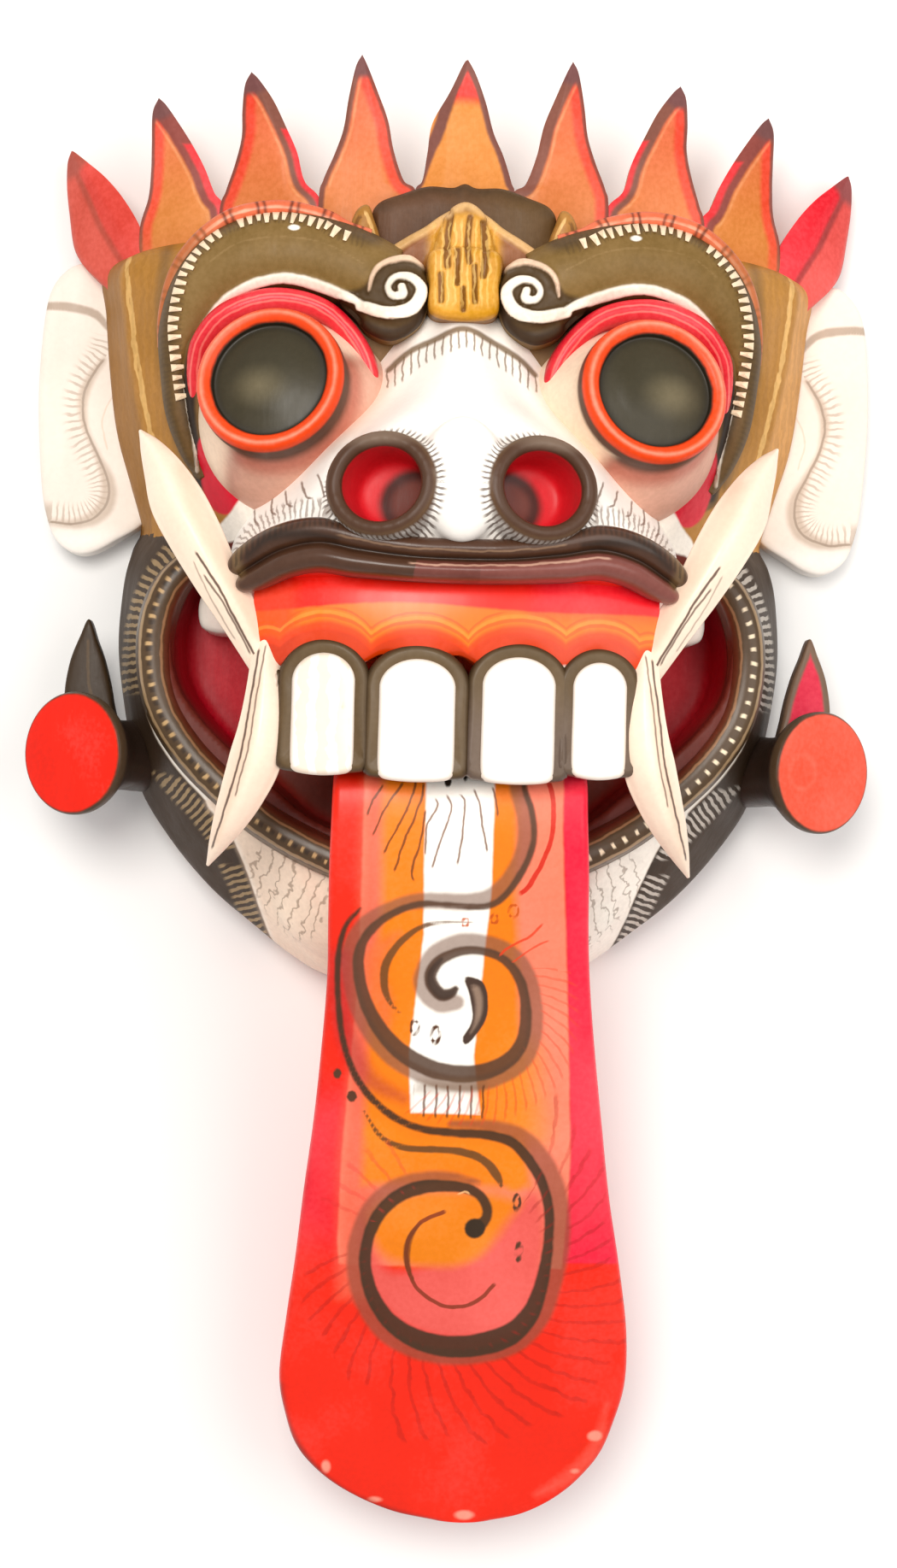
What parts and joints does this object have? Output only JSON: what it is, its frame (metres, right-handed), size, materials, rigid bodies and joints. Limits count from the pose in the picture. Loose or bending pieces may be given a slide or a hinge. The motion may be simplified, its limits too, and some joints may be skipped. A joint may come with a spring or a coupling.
{
  "type": "barong mask",
  "caption": "Carved and painted wooden demon mask with bulging eyes, flame crown, curved tusks, ear plugs and a long hanging tongue, hollow at the back.",
  "frame": {"origin": "middle of the underside: the centre of the overall box at the height of the flat back rim that the mask lies on", "axes": "+Z out of the face, +Y from the tongue tip to the crown, +X to the right as the face is looked at"},
  "size_m": [0.416, 0.7004, 0.1952],
  "materials": {
    "face_paint": "satin paint on carved wood",
    "tongue_paint": "satin paint on carved wood",
    "tusk_paint": "satin ivory paint on carved wood",
    "ear_paint": "matte paint on carved wood",
    "plug_paint": "satin black paint on turned wood"
  },
  "bodies": {
    "root": {"face": "face_paint", "tongue": "tongue_paint", "tusk_upper_left": "tusk_paint", "tusk_upper_right": "tusk_paint", "tusk_lower_left": "tusk_paint", "tusk_lower_right": "tusk_paint", "ear_left": "ear_paint", "ear_right": "ear_paint", "ear_plug_left": "plug_paint", "ear_plug_right": "plug_paint"}
  },
  "joints": []
}
